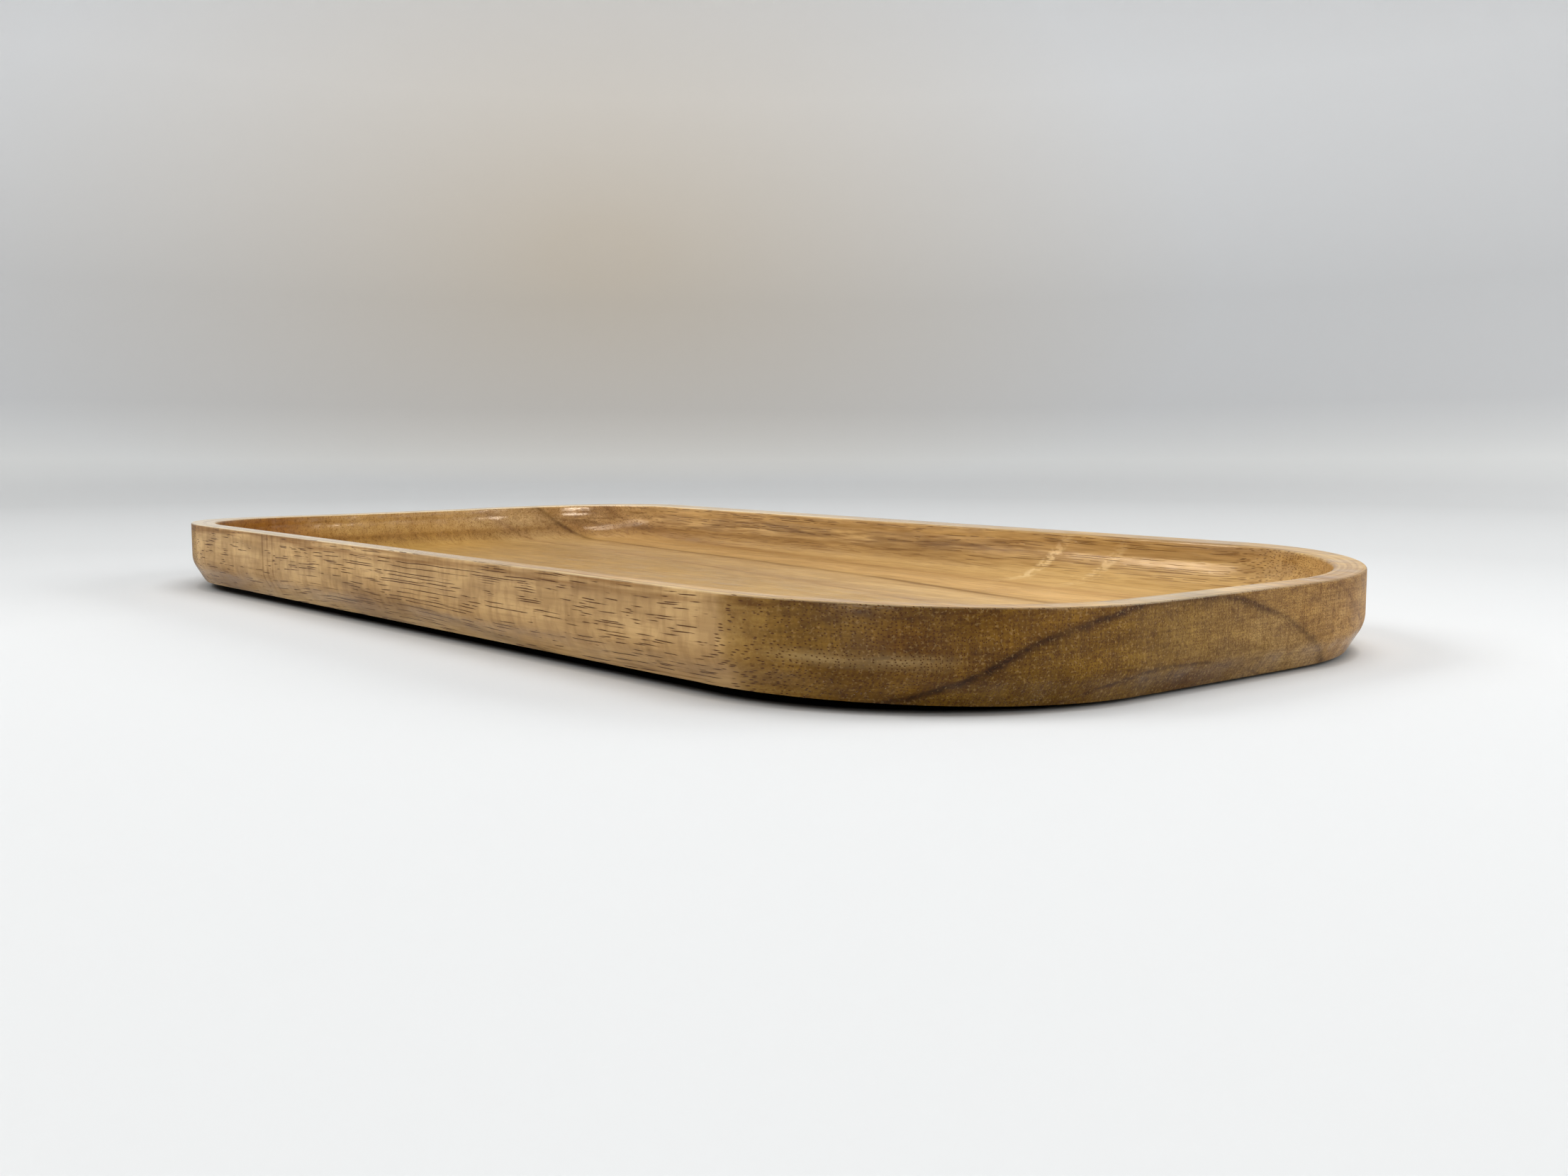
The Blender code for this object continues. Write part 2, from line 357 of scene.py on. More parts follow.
def add(tree, kind, *inputs, stops=None, **settings):
    """Add a node: its inputs by name or number, its settings, and a ramp's stops.

    One of the SUMS takes its inputs in order. An input is a value, or what feeds it.
    """
    if kind in SUMS:
        kind, settings, order = SUMS[kind]
        inputs = [dict(zip(order, inputs))]
    made = tree.nodes.new(kind)
    for name, value in settings.items():
        setattr(made, name, value)
    for key, value in (inputs[0] if inputs else {}).items():
        if isinstance(value, bpy.types.Node):
            value = next(output for output in value.outputs if output.enabled)
        if isinstance(value, bpy.types.NodeSocket):
            tree.links.new(value, made.inputs[key])
        else:
            made.inputs[key].default_value = value
    if stops:
        ramp = made.color_ramp.elements
        while len(ramp) < len(stops):
            ramp.new(1.0)
        for element, (place, colour) in zip(ramp, stops):
            element.position = place
            element.color = colour
    return made


def linear(code):
    """An sRGB hex colour as linear red, green, blue and alpha."""
    channels = [int(code[start:start + 2], 16) / 255 for start in (0, 2, 4)]
    return [c / 12.92 if c <= 0.04045 else ((c + 0.055) / 1.055) ** 2.4 for c in channels] + [1.0]


def new_material(name):
    """A material with an empty tree, and its output node."""
    material = bpy.data.materials.new(name)
    material.use_nodes = True
    material.node_tree.nodes.clear()
    return material, material.node_tree, add(material.node_tree, "ShaderNodeOutputMaterial")


# The shape of the board


def arc_points(radius, start, end, steps):
    """Points on an arc about the origin, from one angle to another, both ends included."""
    angles = [start + (end - start) * step / steps for step in range(steps + 1)]
    return [(radius * math.cos(angle), radius * math.sin(angle)) for angle in angles]


def points_between(start, end, steps):
    """The points that divide a straight line into steps, both ends left out."""
    shares = [step / steps for step in range(1, steps)]
    return [tuple(a + (b - a) * share for a, b in zip(start, end)) for share in shares]


def outline_points():
    """The outline seen from above: four round corners joined by straight sides."""
    along = LENGTH / 2 - CORNER_RADIUS
    across = WIDTH / 2 - CORNER_RADIUS
    centres = ((along, across), (-along, across), (-along, -across), (along, -across))
    corners = []
    for quarter, (x, y) in enumerate(centres):
        start = quarter * math.pi / 2
        arc = arc_points(CORNER_RADIUS, start, start + math.pi / 2, CORNER_STEPS)
        corners.append([(x + out_x, y + out_y) for out_x, out_y in arc])
    points = []
    for quarter, corner in enumerate(corners):
        following = corners[(quarter + 1) % len(corners)]
        steps = SHORT_SIDE_STEPS if quarter % 2 else LONG_SIDE_STEPS
        points += corner + points_between(corner[-1], following[0], steps)
    return points


def section_points():
    """The board's section as (inset from the wall, height above the underside).

    It runs from the middle of the underside round the edge to the middle of the floor.
    """
    quarter = math.pi / 2
    slant = math.atan2(BEVEL_INSET, BEVEL_HEIGHT)
    wall_low = BEVEL_HEIGHT + BEVEL_ROUNDING * math.tan(slant / 2)
    outer_low = BOARD_THICKNESS - OUTER_ARRIS_RADIUS
    inner_low = BOARD_THICKNESS - INNER_ARRIS_RADIUS
    cove_top = FLOOR_THICKNESS + COVE_RADIUS
    foot = (BEVEL_INSET, 0.0)
    rounding = [
        (BEVEL_ROUNDING - out, wall_low - down)
        for out, down in arc_points(BEVEL_ROUNDING, slant, 0, BEVEL_ROUNDING_STEPS)
    ]
    outer = [
        (OUTER_ARRIS_RADIUS - out, outer_low + up)
        for out, up in arc_points(OUTER_ARRIS_RADIUS, 0, quarter, ARRIS_STEPS)
    ]
    inner = [
        (RIM_WIDTH - INNER_ARRIS_RADIUS + out, inner_low + up)
        for out, up in arc_points(INNER_ARRIS_RADIUS, quarter, 0, ARRIS_STEPS)
    ]
    cove = [
        (RIM_WIDTH + COVE_RADIUS - out, cove_top - down)
        for out, down in arc_points(COVE_RADIUS, 0, quarter, COVE_STEPS)
    ]
    under_middle = (WIDTH / 2, 0.0)
    floor_middle = (WIDTH / 2, FLOOR_THICKNESS)
    return [
        under_middle, *points_between(under_middle, foot, CAP_STEPS), foot,
        *points_between(foot, rounding[0], BEVEL_STEPS), *rounding,
        *points_between(rounding[-1], outer[0], WALL_STEPS), *outer,
        *points_between(outer[-1], inner[0], RIM_STEPS), *inner, *cove,
        *points_between(cove[-1], floor_middle, CAP_STEPS), floor_middle,
    ]


def polyline(name, points, closed):
    """A curve object that runs straight from point to point."""
    curve = bpy.data.curves.new(name, "CURVE")
    curve.dimensions = "3D"
    spline = curve.splines.new("POLY")
    spline.points.add(len(points) - 1)
    for point, (x, y) in zip(spline.points, points):
        point.co = (x, y, 0, 1)
    spline.use_cyclic_u = closed
    line = bpy.data.objects.new(name, curve)
    bpy.context.scene.collection.objects.link(line)
    return line


def milled_board_tree():
    """Carry the section round the outline, close the caps, cup the board and cut the pad seats."""
    tree = bpy.data.node_groups.new("milled_board", "GeometryNodeTree")
    for name, kind in (
        ("Outline", "Geometry"), ("Section", "Object"), ("Foot Inset", "Float"),
        ("Half Width", "Float"), ("Half Middle Line", "Float"), ("Underside", "Float"),
        ("Edge Rise", "Float"), ("Half Level Strip", "Float"), ("Seat Radius", "Float"),
        ("Seat Depth", "Float"), ("Seat Spacing X", "Float"), ("Seat Spacing Y", "Float"),
        ("Wood", "Material"),
    ):
        tree.interface.new_socket(name, in_out="INPUT", socket_type="NodeSocket" + kind)
    tree.interface.new_socket("Board", in_out="OUTPUT", socket_type="NodeSocketGeometry")
    size = add(tree, "NodeGroupInput").outputs

    place = add(tree, "GeometryNodeInputPosition")
    outward = add(
        tree, "ShaderNodeVectorMath",
        {0: add(tree, "GeometryNodeInputTangent"), 1: (0, 0, 1)}, operation="CROSS_PRODUCT",
    )
    path = size["Outline"]
    section = add(tree, "GeometryNodeObjectInfo", {"Object": size["Section"]}).outputs["Geometry"]
    for name, value in (("wall_place", place), ("wall_outward", outward)):
        path = add(
            tree, "GeometryNodeStoreNamedAttribute",
            {"Geometry": path, "Name": name, "Value": value}, data_type="FLOAT_VECTOR",
        ).outputs[0]
    section = add(
        tree, "GeometryNodeStoreNamedAttribute",
        {"Geometry": section, "Name": "section_place", "Value": place}, data_type="FLOAT_VECTOR",
    )
    swept = add(tree, "GeometryNodeCurveToMesh", {"Curve": path, "Profile Curve": section})

    # Past the foot of the cove both caps draw in to the board's middle line, so they close
    wall, out, section_place = (
        add(tree, "GeometryNodeInputNamedAttribute", {"Name": name}, data_type="FLOAT_VECTOR")
        for name in ("wall_place", "wall_outward", "section_place")
    )
    drawn = add(tree, "ShaderNodeSeparateXYZ", {0: section_place}).outputs
    inset = add(tree, "ShaderNodeMath", {0: drawn["X"], 1: size["Foot Inset"]}, operation="MINIMUM")
    inward = add(tree, "scaled", out, inset)
    ring = add(tree, "ShaderNodeVectorMath", {0: wall, 1: inward}, operation="SUBTRACT")
    ring_x = add(tree, "ShaderNodeSeparateXYZ", {0: ring}).outputs["X"]
    line_end = add(tree, "times", size["Half Middle Line"], -1.0)
    line_x = add(
        tree, "ShaderNodeClamp",
        {"Value": ring_x, "Min": line_end, "Max": size["Half Middle Line"]},
    )
    drawn_in = add(tree, "spread", drawn["X"], size["Foot Inset"], size["Half Width"])
    middle = add(tree, "ShaderNodeCombineXYZ", {"X": line_x})
    level = add(tree, "ShaderNodeMix", {0: drawn_in, 4: ring, 5: middle}, data_type="VECTOR")
    level = add(tree, "ShaderNodeSeparateXYZ", {0: level}).outputs

    # The cup: nothing over the level strip, then rising as the square of the way to the edge
    off_middle = add(tree, "absolute", level["Y"])
    up_share = add(tree, "spread", off_middle, size["Half Level Strip"], size["Half Width"])
    squared = add(tree, "times", up_share, up_share)
    base = add(tree, "plus", drawn["Y"], size["Underside"])
    height = add(tree, "times_plus", squared, size["Edge Rise"], base)
    final = add(tree, "ShaderNodeCombineXYZ", {"X": level["X"], "Y": level["Y"], "Z": height})
    shaped = add(tree, "GeometryNodeSetPosition", {"Geometry": swept, "Position": final})
    welded = add(
        tree, "GeometryNodeMergeByDistance", {"Geometry": shaped, "Distance": WELD_DISTANCE}
    )

    # One round seat for each pad, at the corners of a two by two grid
    corners = add(
        tree, "GeometryNodeMeshGrid",
        {
            "Size X": size["Seat Spacing X"], "Size Y": size["Seat Spacing Y"],
            "Vertices X": 2, "Vertices Y": 2,
        },
    )
    doubled = add(tree, "times", size["Seat Depth"], 2.0)
    cutter = add(
        tree, "GeometryNodeMeshCylinder",
        {"Vertices": SEAT_SIDES, "Radius": size["Seat Radius"], "Depth": doubled},
    )
    cutters = add(tree, "GeometryNodeInstanceOnPoints", {"Points": corners, "Instance": cutter})
    cutters = add(tree, "GeometryNodeRealizeInstances", {"Geometry": cutters})
    seated = add(
        tree, "GeometryNodeMeshBoolean", {"Mesh 1": welded, "Mesh 2": cutters},
        operation="DIFFERENCE", solver="EXACT",
    )

    # Cutting the seats empties the attributes, so the material's one is read off the uncut board
    read_off = add(
        tree, "GeometryNodeSampleNearestSurface",
        {"Mesh": welded, "Value": section_place, "Sample Position": place},
        data_type="FLOAT_VECTOR",
    )
    restored = add(
        tree, "GeometryNodeStoreNamedAttribute",
        {"Geometry": seated, "Name": "section_place", "Value": read_off}, data_type="FLOAT_VECTOR",
    )
    realised = add(tree, "GeometryNodeRealizeInstances", {"Geometry": restored})
    painted = add(
        tree, "GeometryNodeSetMaterial", {"Geometry": realised, "Material": size["Wood"]}
    )
    add(tree, "NodeGroupOutput", {0: painted})
    return tree


def milled_board(wood):
    """The board as one plain mesh, made by the tree from its outline and its section."""
    outline = polyline("board_outline", outline_points(), closed=True)
    section = polyline("board_section", section_points(), closed=False)
    tree = milled_board_tree()
    milling = outline.modifiers.new("milling", "NODES")
    milling.node_group = tree
    values = {
        "Section": section,
        "Foot Inset": RIM_WIDTH + COVE_RADIUS,
        "Half Width": WIDTH / 2,
        "Half Middle Line": (LENGTH - WIDTH) / 2,
        "Underside": UNDERSIDE,
        "Edge Rise": EDGE_RISE,
        "Half Level Strip": LEVEL_STRIP_WIDTH / 2,
        "Seat Radius": (PAD_HIGH.x - PAD_LOW.x) / 2 + GLUE_GAP,
        "Seat Depth": PAD_HIGH.z + GLUE_GAP,
        "Seat Spacing X": PAD_LOW.x + PAD_HIGH.x,
        "Seat Spacing Y": PAD_LOW.y + PAD_HIGH.y,
        "Wood": wood,
    }
    for item in tree.interface.items_tree:
        if item.in_out == "INPUT" and item.name in values:
            milling[item.identifier] = values[item.name]
    shaped = outline.evaluated_get(bpy.context.evaluated_depsgraph_get())
    mesh = bpy.data.meshes.new_from_object(shaped)
    for line in (outline, section):
        bpy.data.objects.remove(line, do_unlink=True)
    mesh.name = "tray_board"
    mesh.shade_smooth()
    mesh.set_sharp_from_angle(angle=SHARP_ANGLE)
    board = bpy.data.objects.new("tray_board", mesh)
    bpy.context.scene.collection.objects.link(board)
    return board


# The materials


def stretched_noise(tree, place, lengths, detail=2.0):
    """Noise from 0 to 1 whose blotches have these lengths in millimetres along X, Y and Z."""
    scaled = add(
        tree, "ShaderNodeMapping", {"Vector": place, "Scale": [1 / length for length in lengths]}
    )
    return add(tree, "ShaderNodeTexNoise", {"Vector": scaled, "Scale": 1.0, "Detail": detail})


def patches(tree, place, lengths, detail, *ends):
    """Patches of noise, sharpened so that they go from one share to another."""
    return add(tree, "spread", stretched_noise(tree, place, lengths, detail), *ends)


def product(tree, first, *others):
    """Values multiplied together."""
    for other in others:
        first = add(tree, "times", first, other)
    return first


def near(tree, value, middle, solid, faded):
    """1 where a value is within one distance of the middle, and 0 beyond another."""
    off = add(tree, "absolute", add(tree, "plus", value, -middle))
    return add(tree, "spread", off, solid, faded, 1.0, 0.0)


def region(tree, spot, ranges):
    """How far a point lies in a part of the board: its share in each of the part's ranges."""
    return product(tree, *(add(tree, "spread", spot[name], *ends) for name, ends in ranges.items()))


def marked(tree, colour, place, marks, strength):
    """A colour with marks on it, each a stain that shows where its noise is strong."""
    for lengths, detail, low, high, depth, stain in marks:
        noise = patches(tree, place, lengths, detail, low, high, 0.0, depth)
        colour = add(tree, "stained", colour, product(tree, noise, strength), linear(stain))
    return colour


def board_surface(tree):
    """What the wood's patterns go by at a point of the board, with lengths in millimetres.

    The grain is the place drawn aside as the grain wanders. The inset is how far in from the
    outer wall the point lies on the section, and the level how far above the underside.
    """
    here = add(tree, "ShaderNodeTexCoord").outputs
    place = add(tree, "scaled", here["Object"], MM_PER_METRE)
    wander = stretched_noise(tree, place, GRAIN_WANDER_LENGTHS).outputs["Color"]
    half = GRAIN_WANDER / 2
    aside = add(
        tree, "ShaderNodeVectorMath",
        {0: wander, 1: (0, GRAIN_WANDER, GRAIN_WANDER), 2: (0, -half, -half)},
        operation="MULTIPLY_ADD",
    )
    section = add(tree, "ShaderNodeAttribute", attribute_name="section_place").outputs["Vector"]
    section = add(tree, "scaled", section, MM_PER_METRE)
    spot, section, normal = (
        add(tree, "ShaderNodeSeparateXYZ", {0: vector}).outputs
        for vector in (place, section, here["Normal"])
    )
    return {
        "place": place,
        "grain": add(tree, "ShaderNodeVectorMath", {0: place, 1: aside}, operation="ADD"),
        "x": spot["X"], "y": spot["Y"], "z": spot["Z"],
        "inset": section["X"], "level": section["Y"],
        "endways": add(tree, "absolute", normal["X"]),
        "sideways": add(tree, "absolute", normal["Y"]),
        "upward": normal["Z"],
    }


def ring_pattern(tree, grain):
    """The colour of the growth ring at a place, and how dark a line runs there."""
    across = add(
        tree, "ShaderNodeVectorMath",
        {0: grain, 1: (0, 1, 1), 2: (0, -PITH_Y, -PITH_Z)}, operation="MULTIPLY_ADD",
    )
    along = add(tree, "ShaderNodeSeparateXYZ", {0: grain}).outputs["X"]
    taper = add(tree, "times_plus", along, RING_TAPER_SHARE, -RING_TAPER_SHARE * NEAR_END_X)
    ring = add(tree, "plus", add(tree, "length", across), taper)
    share = add(tree, "spread", ring, RING_FIRST, RING_LAST)
    span = RING_LAST - RING_FIRST
    stops = [((distance - RING_FIRST) / span, linear(code)) for distance, code in RING_COLOURS]
    colour = add(tree, "ShaderNodeValToRGB", {"Fac": share}, stops=stops)
    line_stops = []
    for distance, depth, half_width in RING_LINES:
        for aside, level in ((-2 * half_width, 0.0), (0.0, depth), (half_width, 0.0)):
            line_stops.append(((distance + aside - RING_FIRST) / span, (level, level, level, 1)))
    return colour, add(tree, "ShaderNodeValToRGB", {"Fac": share}, stops=line_stops)


def pores(tree, spot):
    """How open a pore is at a place, from 0 to 1.

    A pore is a fine tube along the grain that waves slowly in and out of the cut surface, so it
    shows as a dash along the grain and as a dot across it. Acacia's pores are 0.1 to 0.2 mm wide,
    and these are drawn as wide as the widest, so that they show.
    """
    place = spot["place"]
    waves = stretched_noise(tree, place, PORE_WAVE_LENGTHS, detail=1.0).outputs["Color"]
    waved = add(
        tree, "ShaderNodeVectorMath", {0: waves, 1: (0, PORE_WAVE, PORE_WAVE), 2: spot["grain"]},
        operation="MULTIPLY_ADD",
    )
    across = add(tree, "ShaderNodeSeparateXYZ", {0: waved}).outputs
    flat = add(tree, "ShaderNodeCombineXYZ", {"X": across["Y"], "Y": across["Z"]})
    tubes = add(
        tree, "ShaderNodeTexVoronoi",
        {"Vector": flat, "Scale": 1 / PORE_SPACING, "Randomness": PORE_RANDOMNESS},
        voronoi_dimensions="2D",
    )
    open_part = add(tree, "spread", tubes.outputs["Distance"], *PORE_EDGES, 1.0, 0.0)
    dashes = stretched_noise(tree, place, PORE_DASH_LENGTHS, detail=1.0)
    clusters = stretched_noise(tree, place, PORE_CLUSTER_LENGTHS, detail=0.0)
    here = add(tree, "times_plus", clusters, PORE_CLUSTER_SHARE, dashes)
    return product(tree, open_part, add(tree, "spread", here, *PORE_LEVELS))


def side_figure(tree, colour, spot):
    """The long sides: broken ribbons across the grain, clouds, fine lines, streaks under the rim
    and painted shade on the lower edge.
    """
    place = spot["place"]
    long_side = region(tree, spot, LONG_SIDE)
    shown = product(tree, long_side, SIDE_TONE_SHARE)
    colour = add(tree, "mixed", colour, shown, linear(SIDE_TONE))
    colour = marked(tree, colour, place, SIDE_RIBBONS, region(tree, spot, RIBBONS_SHOW))

    # The clouds, which are ragged and don't reach into the well, and the front side's fine lines
    ragged = stretched_noise(tree, place, RAGGED_LENGTHS)
    shell = region(tree, spot, CLOUDS_SHOW)
    for middle, reach, stain in CLOUDS:
        cloud = add(
            tree, "ShaderNodeMapping",
            {
                "Vector": place, "Location": [-m / r for m, r in zip(middle, reach)],
                "Scale": [1 / r for r in reach],
            },
        )
        away = add(tree, "plus", add(tree, "length", cloud), ragged)
        shown = product(tree, add(tree, "spread", away, *CLOUD_EDGES, CLOUD_DEPTH, 0.0), shell)
        colour = add(tree, "stained", colour, shown, linear(stain))
    off_middle = add(tree, "plus", spot["x"], -FINE_LINES_X)
    comb = add(
        tree, "ShaderNodeMath", {0: off_middle, 1: FINE_LINE_PITCH / 2}, operation="PINGPONG"
    )
    fine_lines = product(
        tree, long_side, region(tree, spot, FRONT),
        add(tree, "spread", comb, *FINE_LINE_EDGES, FINE_LINE_DEPTH, 0.0),
        near(tree, off_middle, 0.0, *FINE_LINES_END),
        add(tree, "spread", ragged, *FINE_LINE_BREAKS),
    )
    colour = add(tree, "stained", colour, fine_lines, linear(FINE_LINE_STAIN))

    # Streaks under the rim's edge, and painted shade darkening the lower edge where it rounds under
    colour = marked(tree, colour, place, RIM_STREAKS, region(tree, spot, UPPER_EDGE))
    lower = product(tree, long_side, region(tree, spot, LOWER_EDGE))
    return add(tree, "stained", colour, lower, linear(LOWER_EDGE_PAINTED_SHADE))


def well_figure(tree, colour, spot):
    """The well's walls: brown streaks along their top, thinning towards the near end as a painted
    lightening, and grain ribbons on the back one, painted pale as a painted sheen.
    """
    top = region(tree, spot, WELL_WALL_TOP)
    colour = marked(tree, colour, spot["place"], WELL_STREAKS, top)
    back = region(tree, spot, WELL_BACK)
    leaning = add(tree, "times_plus", spot["z"], RIBBON_LEAN, spot["x"])
    broken = patches(tree, spot["place"], *RIBBON_PATCHES)
    # The ribbons are grain, painted paler as a painted sheen
    for x, depth in PALE_RIBBONS:
        ribbon = near(tree, leaning, x + RIBBON_LEAN * RIBBON_HEIGHT, *RIBBON_EDGES)
        shown = product(tree, ribbon, broken, back, depth)
        colour = add(tree, "mixed", colour, shown, linear(PALE_RIBBON_SHEEN_TONE))
    return colour


def end_grain(tree, colour, spot, lines):
    """End grain drinks in the lacquer: it is darker, specked, and keeps the sander's scratches.

    Painted light makes its far half paler, and painted shade darkens it at the near corner.
    """
    place = spot["place"]
    facing = add(tree, "plus", *(region(tree, spot, turn) for turn in END_TURNS))
    across = product(tree, facing, region(tree, spot, END_FACE))
    # Painted shade deepens the end grain at the near corner, and painted light fades it over the
    # far half
    for part, stain in ((END_NEAR_PART, NEAR_CORNER_PAINTED_SHADE), (END_FAR_PART, END_GRAIN_STAIN)):
        shown = product(tree, across, region(tree, spot, part))
        colour = add(tree, "stained", colour, shown, linear(stain))
    worn = patches(tree, place, *END_RING_PATCHES)
    shown = product(tree, across, lines, worn, region(tree, spot, END_RINGS_SHOW))
    colour = add(tree, "stained", colour, shown, linear(END_RING_STAIN))
    colour = marked(tree, colour, place, END_SCRATCHES, across)
    specks = patches(tree, place, *SPECKS)
    colour = add(tree, "mixed", colour, product(tree, specks, across), linear(SPECK_TONE))

    # At the near corner, where the wall starts to round under, a paler band runs along it
    pale_band = product(
        tree, across, patches(tree, place, *PALE_BAND_PATCHES),
        region(tree, spot, PALE_BAND_FROM), region(tree, spot, PALE_BAND_TO),
    )
    return add(tree, "mixed", colour, pale_band, linear(PALE_BAND_TONE))


def rim_lines(tree, colour, spot):
    """The rim: a painted sheen pales it towards the far end, with fine lines along it and a painted
    highlight on the outer edge.
    """
    on_rim = region(tree, spot, RIM)
    near_end = near(tree, spot["y"], *RIM_NEAR_STRETCH)
    near_end = product(tree, region(tree, spot, RIM_NEAR_END), near_end)
    # The far part's paleness is a painted sheen
    for paler in (region(tree, spot, RIM_PAINTED_SHEEN), near_end):
        colour = add(tree, "mixed", colour, product(tree, on_rim, paler), linear(RIM_TONE))

    # The sander's lines run round the rim, so their noise changes fast with the inset alone
    slow = add(tree, "scaled", spot["place"], RIM_LINES_SLOWER)
    lane = add(tree, "ShaderNodeCombineXYZ", {"Z": spot["inset"]})
    lanes = add(tree, "ShaderNodeVectorMath", {0: slow, 1: lane}, operation="ADD")
    lines = add(
        tree, "ShaderNodeTexNoise", {"Vector": lanes, "Scale": RIM_LINES_TO_MM, "Detail": 2.0}
    )
    lines = add(tree, "spread", lines, *RIM_LINE_LEVELS, 0.0, RIM_LINE_DEPTH)
    dark = product(tree, on_rim, lines)
    colour = add(tree, "stained", colour, dark, linear(RIM_LINE_STAIN))
    # A painted highlight along the rim's outer edge
    edge = product(
        tree, on_rim, patches(tree, spot["place"], *RIM_EDGE_PATCHES),
        region(tree, spot, RIM_OUTER_EDGE),
    )
    return add(tree, "mixed", colour, edge, linear(RIM_EDGE_PAINTED_HIGHLIGHT))


def lacquer_weight(tree, spot):
    """How much lacquer lies at a point: less outside, uneven, least along the well's long walls."""
    wall = region(tree, spot, WELL_WALL)
    duller = product(tree, wall, near(tree, spot["x"], *DULLER_STRETCH))
    glossier = product(tree, wall, region(tree, spot, WELL_NEAR_PART))
    weight = product(
        tree, patches(tree, spot["place"], *LACQUER_PATCHES),
        region(tree, spot, LACQUER_LIES),
        add(tree, "spread", duller, 0.0, 1.0, 1.0, DULLER_SHARE),
        add(tree, "spread", glossier, 0.0, 1.0, 1.0, GLOSSIER_SHARE),
    )
    far_rim = region(tree, spot, RIM_FAR_PART)
    return add(tree, "ShaderNodeMix", {0: far_rim, 2: weight, 3: RIM_LACQUER})


def lacquered_acacia():
    """Flat-sawn acacia, milled, sanded and sprayed with a thin satin lacquer.

    It gives the eye ring arches on the ends and streaks along the floor, dark pores that turn
    from dashes into dots round the corners, ribbons of light and dark across the grain of the
    sides, darker end grain, and a soft gloss that pales the wood at a low angle.
    """
    material, tree, output = new_material("lacquered_acacia")
    spot = board_surface(tree)
    place, grain = spot["place"], spot["grain"]

    # Rings, then blotches, streaks, flecks and fibres along the grain, calmer on the well's floor
    colour, lines = ring_pattern(tree, grain)
    floor = region(tree, spot, WELL_FLOOR)
    calmer = add(tree, "spread", floor, 0.0, 1.0, 1.0, CALMER_SHARE)
    colour = marked(tree, colour, grain, GRAIN_MARKS, calmer)
    colour = marked(tree, colour, place, FIBRE_MARKS, calmer)

    # The lines between the rings come and go
    shown = product(tree, lines, patches(tree, grain, *RING_LINE_PATCHES))
    colour = add(tree, "stained", colour, shown, linear(RING_LINE_STAIN))
    colour = side_figure(tree, colour, spot)
    colour = well_figure(tree, colour, spot)
    colour = end_grain(tree, colour, spot, lines)
    colour = rim_lines(tree, colour, spot)
    # Painted shade in the well
    for stain, ranges in WELL_PAINTED_SHADE:
        colour = add(tree, "stained", colour, region(tree, spot, ranges), linear(stain))

    # Pores, which the lacquer has filled on the flat floor and rim
    open_pores = product(tree, pores(tree, spot), region(tree, spot, PORES_SHOW))
    colour = add(tree, "mixed", colour, open_pores, linear(PORE_COLOUR))
    height = product(tree, open_pores, -PORE_DEPTH)
    for lengths, depth in RELIEF:
        noise = stretched_noise(tree, place, lengths, detail=1.0)
        height = add(tree, "times_plus", noise, depth, height)
    bump = add(
        tree, "ShaderNodeBump", {"Height": height, "Distance": 1 / MM_PER_METRE, "Strength": 1.0}
    )
    shader = add(
        tree, "ShaderNodeBsdfPrincipled",
        {
            "Base Color": colour, "Roughness": 0.55, "IOR": 1.5, "Specular IOR Level": 0.1,
            "Normal": bump, "Coat Weight": lacquer_weight(tree, spot),
            "Coat Roughness": 0.15, "Coat IOR": 1.5, "Coat Normal": bump,
        },
    )
    tree.links.new(shader.outputs[0], output.inputs["Surface"])
    return material


def pad_rubber():
    """Moulded soft rubber: near black and matt, with the faint pebbling of its mould."""
    material, tree, output = new_material("pad_rubber")
    here = add(tree, "ShaderNodeTexCoord").outputs["Object"]
    place = add(tree, "scaled", here, MM_PER_METRE)
    pebbles = stretched_noise(tree, place, (PEBBLE_LENGTH, PEBBLE_LENGTH, PEBBLE_LENGTH))
    stops = [(level, linear(code)) for level, code in RUBBER_COLOURS]
    tone = add(tree, "ShaderNodeValToRGB", {"Fac": pebbles}, stops=stops)
    bump = add(
        tree, "ShaderNodeBump", {"Height": pebbles, "Distance": PEBBLE_DEPTH, "Strength": 1.0}
    )
    shader = add(
        tree, "ShaderNodeBsdfPrincipled", {"Base Color": tone, "Roughness": 0.72, "Normal": bump}
    )
    tree.links.new(shader.outputs[0], output.inputs["Surface"])
    return material


# The stage and the light


